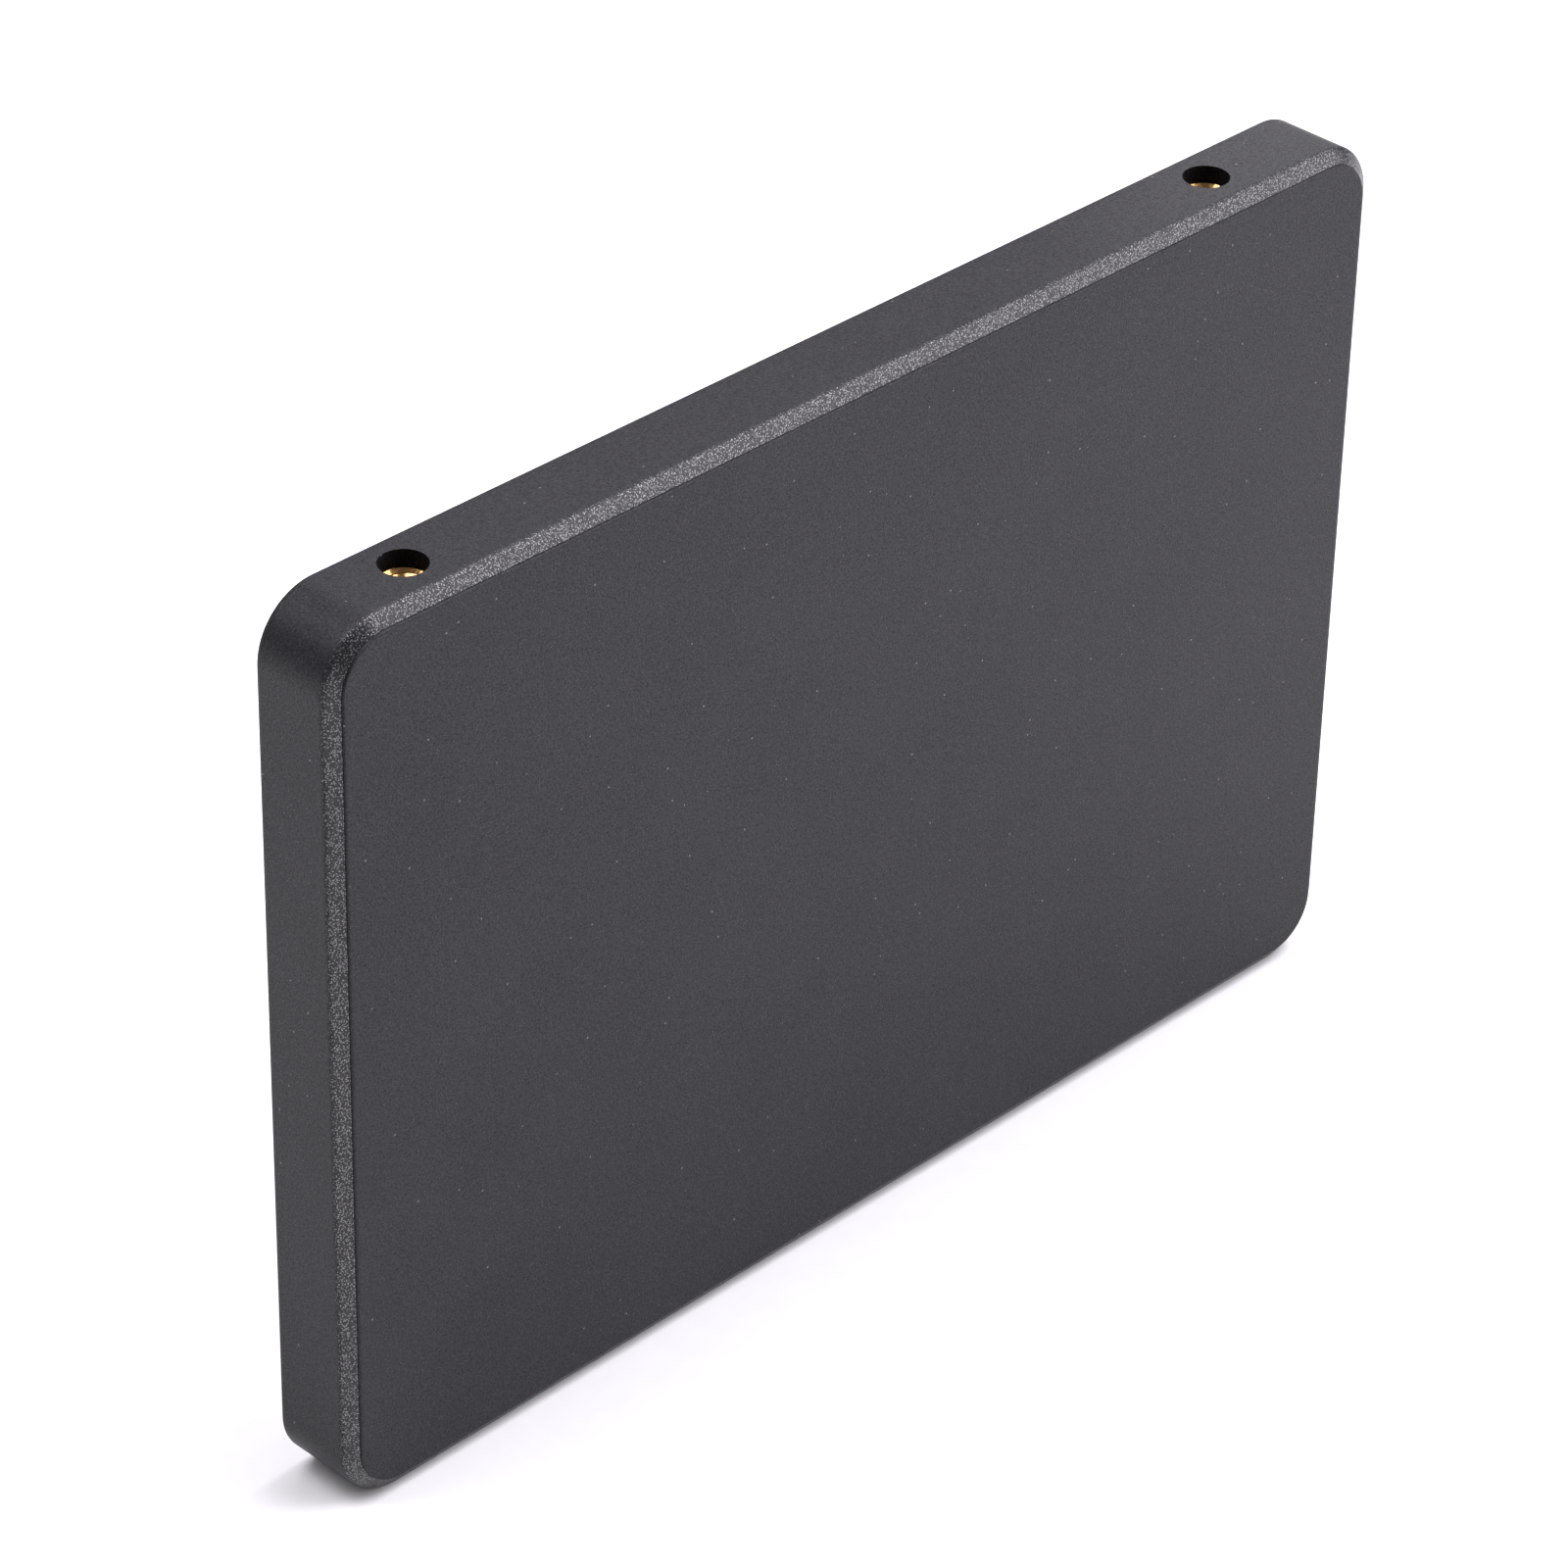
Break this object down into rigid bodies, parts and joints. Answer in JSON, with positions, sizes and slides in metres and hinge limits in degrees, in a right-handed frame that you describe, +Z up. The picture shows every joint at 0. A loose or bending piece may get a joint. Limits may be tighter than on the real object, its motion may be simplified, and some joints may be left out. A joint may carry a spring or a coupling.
{
  "type": "solid state drive",
  "caption": "Flat rectangular 2.5-inch solid state drive, 7 mm high: chamfered plastic case, side and base mounting threads, serial ATA connector at one end.",
  "frame": {"origin": "middle of the long edge that the drive stands on, halfway through its thickness", "axes": "+X along the length towards the connector end, +Y out of the base (back cover) with the label face at -Y, +Z up across the width"},
  "size_m": [0.1004, 0.007, 0.0698],
  "materials": {
    "case_plastic": "fine matte grain, with a coarse grain on the chamfer round the label face",
    "lid_plastic": "fine matte grain",
    "nut_brass": "machined brass",
    "board_laminate": "green solder mask",
    "screw_steel": "nickel-plated steel",
    "connector_plastic": "black glass-filled plastic, satin",
    "contact_gold": "gold-plated copper alloy",
    "tinned_metal": "tin-plated steel",
    "chip_plastic": "black moulding compound",
    "ferrite": "dark grey ferrite",
    "capacitor_ceramic": "tan ceramic",
    "pad_silicone": "soft blue-grey silicone"
  },
  "bodies": {
    "root": {"front_cover": "case_plastic", "back_cover": "lid_plastic", "nut_block_connector_upper": "nut_brass", "nut_block_connector_lower": "nut_brass", "nut_block_plain_upper": "nut_brass", "nut_block_plain_lower": "nut_brass", "circuit_board": "board_laminate", "board_screw_1": "screw_steel", "board_screw_2": "screw_steel", "connector_housing": "connector_plastic", "data_contact_1": "contact_gold", "data_contact_2": "contact_gold", "data_contact_3": "contact_gold", "data_contact_4": "contact_gold", "data_contact_5": "contact_gold", "data_contact_6": "contact_gold", "data_contact_7": "contact_gold", "power_contact_1": "contact_gold", "power_contact_2": "contact_gold", "power_contact_3": "contact_gold", "power_contact_4": "contact_gold", "power_contact_5": "contact_gold", "power_contact_6": "contact_gold", "power_contact_7": "contact_gold", "power_contact_8": "contact_gold", "power_contact_9": "contact_gold", "power_contact_10": "contact_gold", "power_contact_11": "contact_gold", "power_contact_12": "contact_gold", "power_contact_13": "contact_gold", "power_contact_14": "contact_gold", "power_contact_15": "contact_gold", "board_lock_1": "tinned_metal", "board_lock_2": "tinned_metal", "controller_chip": "chip_plastic", "cache_chip": "chip_plastic", "power_chip": "chip_plastic", "fuse_chip": "chip_plastic", "flash_chip_1": "chip_plastic", "flash_chip_2": "chip_plastic", "flash_chip_3": "chip_plastic", "flash_chip_4": "chip_plastic", "inductor_1": "ferrite", "inductor_2": "ferrite", "capacitor_1": "capacitor_ceramic", "capacitor_2": "capacitor_ceramic", "capacitor_3": "capacitor_ceramic", "capacitor_4": "capacitor_ceramic", "capacitor_5": "capacitor_ceramic", "capacitor_6": "capacitor_ceramic", "capacitor_7": "capacitor_ceramic", "capacitor_8": "capacitor_ceramic", "crystal": "tinned_metal", "thermal_pad": "pad_silicone"}
  },
  "joints": []
}
